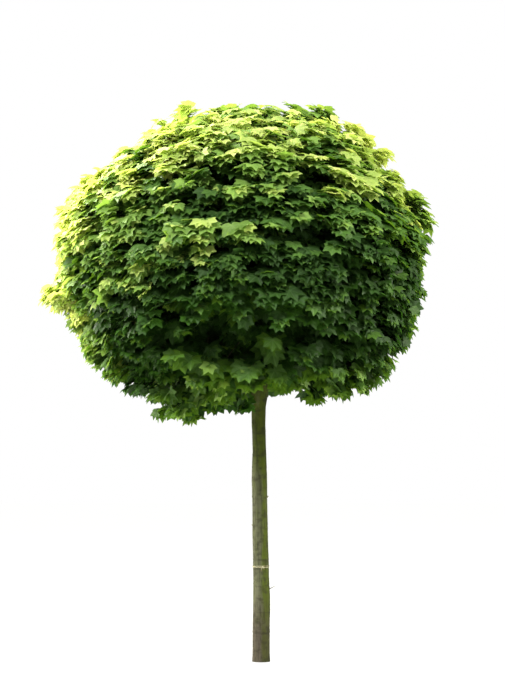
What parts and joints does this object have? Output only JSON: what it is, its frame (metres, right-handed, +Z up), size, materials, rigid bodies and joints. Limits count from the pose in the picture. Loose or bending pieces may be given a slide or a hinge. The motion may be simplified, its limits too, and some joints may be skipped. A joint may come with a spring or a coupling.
{
  "type": "globe-headed maple tree",
  "caption": "Globe-headed maple, top-grafted at head height on one clear straight stem: a dense round crown of lobed leaves over a slim trunk.",
  "frame": {"origin": "middle of the flat cut under the trunk, at ground level", "axes": "+Z up along the trunk, -Y towards the side the picture shows, +X to that side's right"},
  "size_m": [3.2571, 3.2305, 4.6781],
  "materials": {
    "bark": "matt, finely ridged olive-grey bark",
    "foliage": "soft satin green leaves"
  },
  "bodies": {
    "root": {"trunk": "bark", "bough_top": "bark", "bough_upper_1": "bark", "bough_upper_2": "bark", "bough_upper_3": "bark", "bough_upper_4": "bark", "bough_upper_5": "bark", "bough_middle_1": "bark", "bough_middle_2": "bark", "bough_middle_3": "bark", "bough_middle_4": "bark", "bough_middle_5": "bark", "bough_middle_6": "bark", "bough_middle_7": "bark", "bough_lower_1": "bark", "bough_lower_2": "bark", "bough_lower_3": "bark", "bough_lower_4": "bark", "bough_lower_5": "bark", "bough_lower_6": "bark", "bough_lower_7": "bark", "foliage_top": "foliage", "foliage_upper_1": "foliage", "foliage_upper_2": "foliage", "foliage_upper_3": "foliage", "foliage_upper_4": "foliage", "foliage_upper_5": "foliage", "foliage_middle_1": "foliage", "foliage_middle_2": "foliage", "foliage_middle_3": "foliage", "foliage_middle_4": "foliage", "foliage_middle_5": "foliage", "foliage_middle_6": "foliage", "foliage_middle_7": "foliage", "foliage_lower_1": "foliage", "foliage_lower_2": "foliage", "foliage_lower_3": "foliage", "foliage_lower_4": "foliage", "foliage_lower_5": "foliage", "foliage_lower_6": "foliage", "foliage_lower_7": "foliage"}
  },
  "joints": []
}
